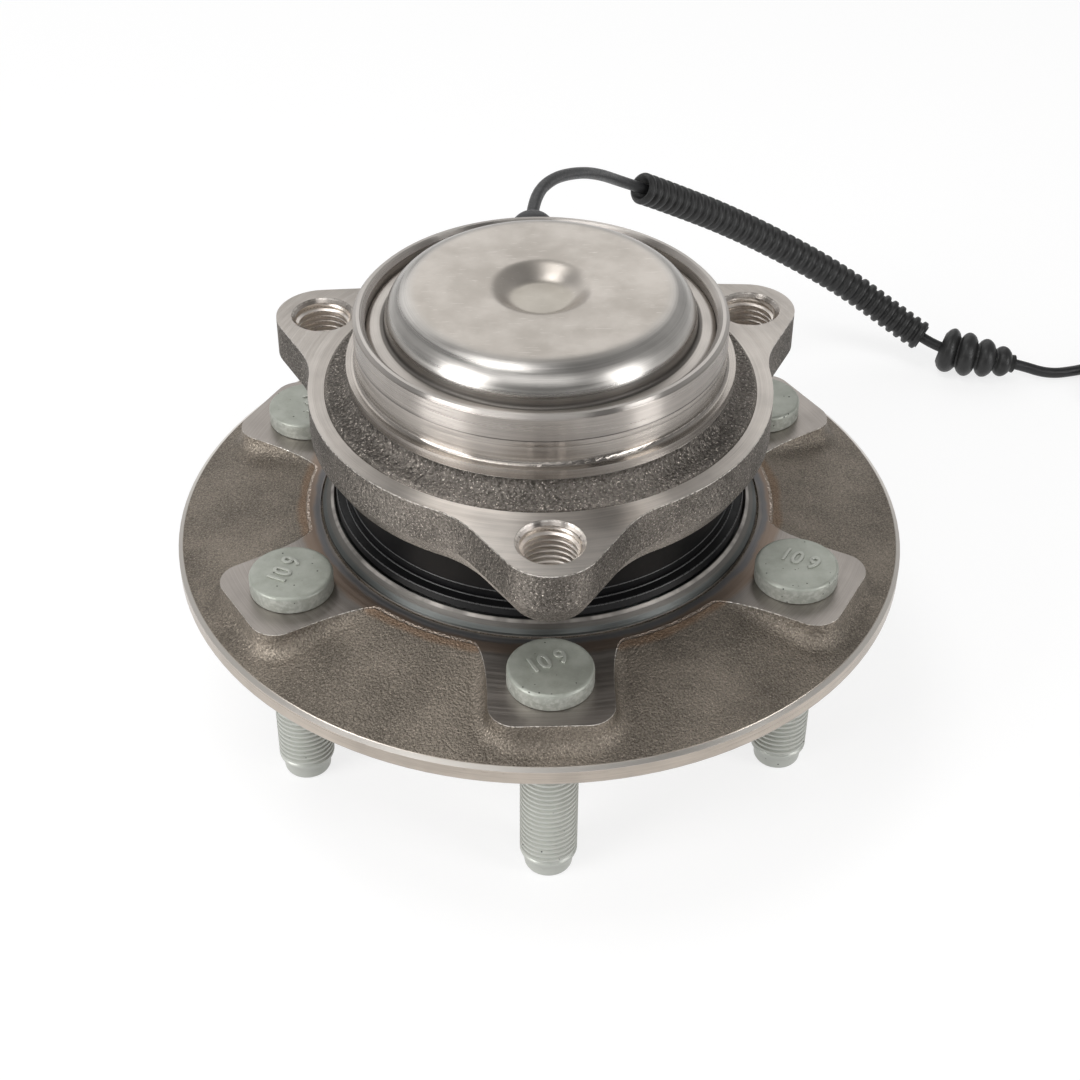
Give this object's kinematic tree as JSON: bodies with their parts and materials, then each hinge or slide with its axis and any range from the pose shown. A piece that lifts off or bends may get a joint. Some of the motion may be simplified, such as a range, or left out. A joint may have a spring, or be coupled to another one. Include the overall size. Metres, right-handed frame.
{
  "type": "wheel hub bearing",
  "caption": "Flanged wheel hub bearing for a light truck: wheel studs, ball rows, knuckle spigot with mounting ears, end cap, and a wheel-speed sensor on a coiled lead with a plug.",
  "frame": {"origin": "centre of the base that the part stands on, the plane of the stud tips, on the spin axis", "axes": "+Z along the spin axis from the wheel side towards the knuckle side, -Y towards one mounting ear and one stud, +Y towards the wheel-speed sensor"},
  "size_m": [0.325, 0.2533, 0.1208],
  "materials": {
    "forged_hub": "forged flange, partly machined",
    "forged_ring": "forged sides, machined faces and spigot",
    "coated_stud": "grey-green coated bolt steel",
    "bearing_steel": "ground and polished",
    "cage_plastic": "glass-filled moulded plastic",
    "cap_sheet": "drawn steel sheet",
    "seal_sheet": "drawn steel sheet",
    "seal_rubber": "moulded rubber",
    "encoder_rubber": "magnetic rubber",
    "sensor_plastic": "moulded black plastic",
    "sleeve_brass": "turned",
    "screw_steel": "zinc plated",
    "cable_jacket": "smooth black jacket",
    "conduit_plastic": "corrugated black plastic",
    "grommet_rubber": "moulded rubber bellows",
    "tie_plastic": "black nylon",
    "plug_plastic": "moulded black plastic",
    "wire_seal": "moulded silicone rubber"
  },
  "bodies": {
    "knuckle_side": {"outer_ring": "forged_ring", "end_cap": "cap_sheet", "seal_case": "seal_sheet", "seal_lip": "seal_rubber", "speed_sensor": "sensor_plastic", "sensor_bushing": "sleeve_brass", "sensor_screw": "screw_steel", "sensor_o_ring": "seal_rubber", "cable": "cable_jacket", "conduit": "conduit_plastic", "cable_grommet": "grommet_rubber", "cable_coil": "cable_jacket", "cable_tail": "cable_jacket", "coil_tie": "tie_plastic", "connector": "plug_plastic", "connector_seal": "wire_seal"},
    "wheel_side": {"hub": "forged_hub", "wheel_stud_1": "coated_stud", "wheel_stud_2": "coated_stud", "wheel_stud_3": "coated_stud", "wheel_stud_4": "coated_stud", "wheel_stud_5": "coated_stud", "wheel_stud_6": "coated_stud", "inner_ring": "bearing_steel", "slinger": "seal_sheet", "encoder_carrier": "seal_sheet", "encoder_ring": "encoder_rubber"},
    "outboard_row": {"outboard_cage": "cage_plastic", "outboard_balls": "bearing_steel"},
    "inboard_row": {"inboard_cage": "cage_plastic", "inboard_balls": "bearing_steel"}
  },
  "joints": [
    {"name": "hub_spin", "type": "hinge", "parent": "knuckle_side", "child": "wheel_side", "pos_m": [0, 0, 0.0874], "axis": [0, 0, 1], "continuous": true},
    {"name": "outboard_row_spin", "type": "hinge", "parent": "knuckle_side", "child": "outboard_row", "pos_m": [0, 0, 0.0729], "axis": [0, 0, 1], "continuous": true},
    {"name": "inboard_row_spin", "type": "hinge", "parent": "knuckle_side", "child": "inboard_row", "pos_m": [0, 0, 0.1019], "axis": [0, 0, 1], "continuous": true}
  ],
  "couplings": [
    {"joint": "outboard_row_spin", "follows": "hub_spin", "ratio": 0.4285},
    {"joint": "inboard_row_spin", "follows": "hub_spin", "ratio": 0.4285}
  ]
}
